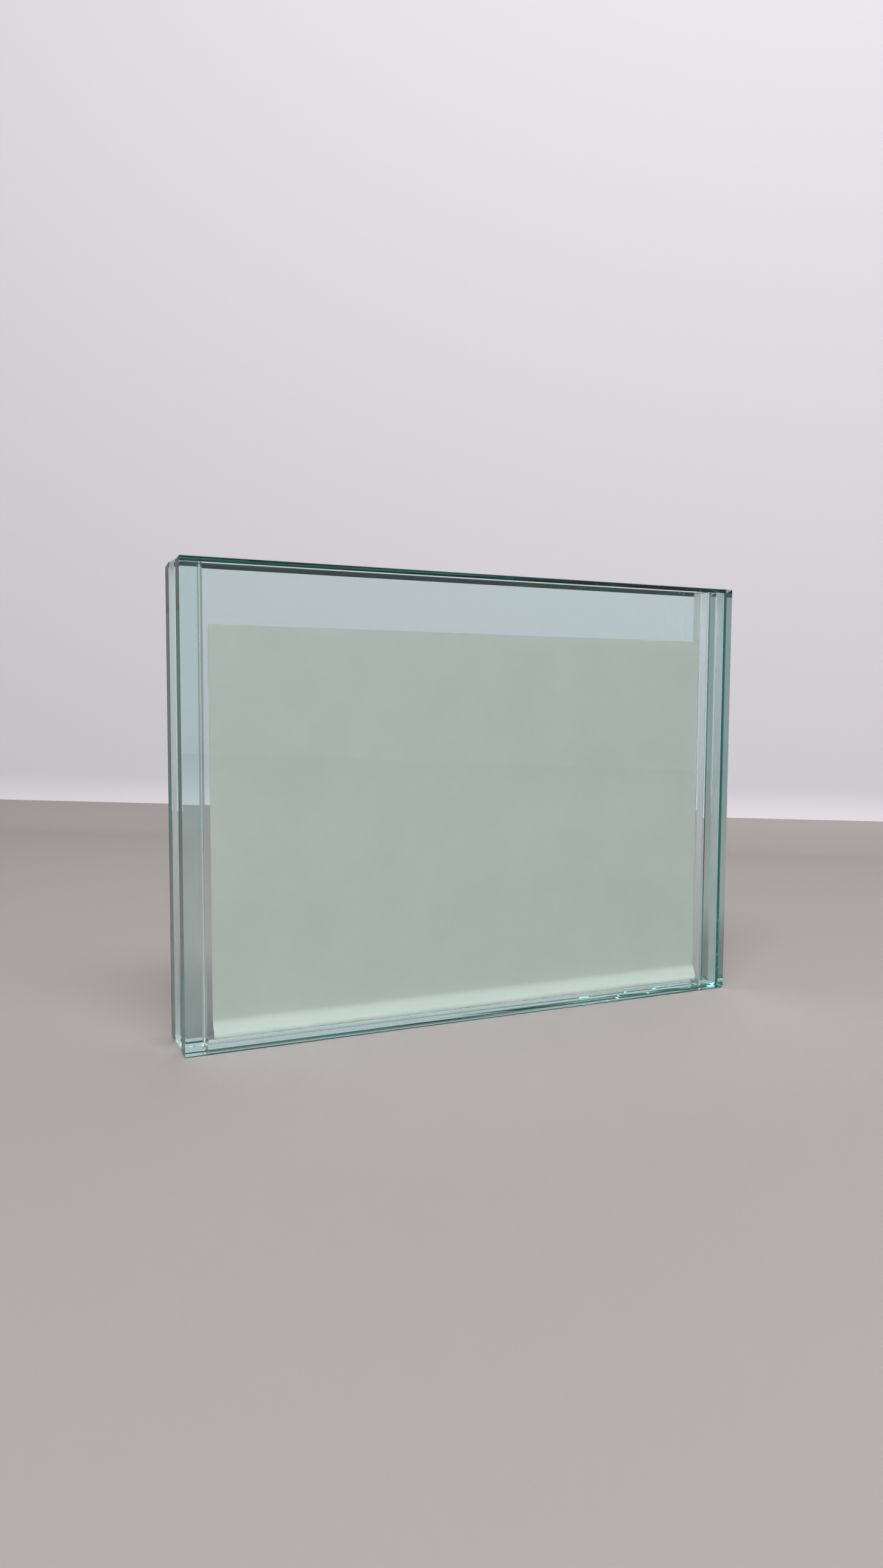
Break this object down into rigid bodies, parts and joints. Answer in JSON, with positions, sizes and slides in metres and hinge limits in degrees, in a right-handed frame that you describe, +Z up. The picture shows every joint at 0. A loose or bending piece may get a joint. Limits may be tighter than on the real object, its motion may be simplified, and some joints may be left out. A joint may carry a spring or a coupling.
{
  "type": "picture frame",
  "caption": "Free-standing landscape picture frame of thick clear glass: two polished plates bonded to glass strips, with a pocket open at the top for a card that slides up and out.",
  "frame": {"origin": "middle of the footprint, on the surface the frame stands on", "axes": "+Z up, +X along the length to the viewer's right, -Y towards the viewer, so the front plate is on the -Y side"},
  "size_m": [0.222, 0.026, 0.164],
  "materials": {
    "plate_glass": "polished clear float glass with a green body tint",
    "strip_glass": "clear float glass, ground and polished edges",
    "clear_adhesive": "clear cured adhesive",
    "card": "matt uncoated card, blank"
  },
  "bodies": {
    "glass_block": {"front_plate": "plate_glass", "back_plate": "plate_glass", "left_strip": "strip_glass", "right_strip": "strip_glass", "bottom_strip": "strip_glass", "front_left_bond": "clear_adhesive", "front_right_bond": "clear_adhesive", "front_bottom_bond": "clear_adhesive", "back_left_bond": "clear_adhesive", "back_right_bond": "clear_adhesive", "back_bottom_bond": "clear_adhesive"},
    "card": {"blank_card": "card"}
  },
  "joints": [
    {"name": "card_slide", "type": "slide", "parent": "glass_block", "child": "card", "axis": [0, 0, 1], "range_m": [0, 0.165]}
  ]
}
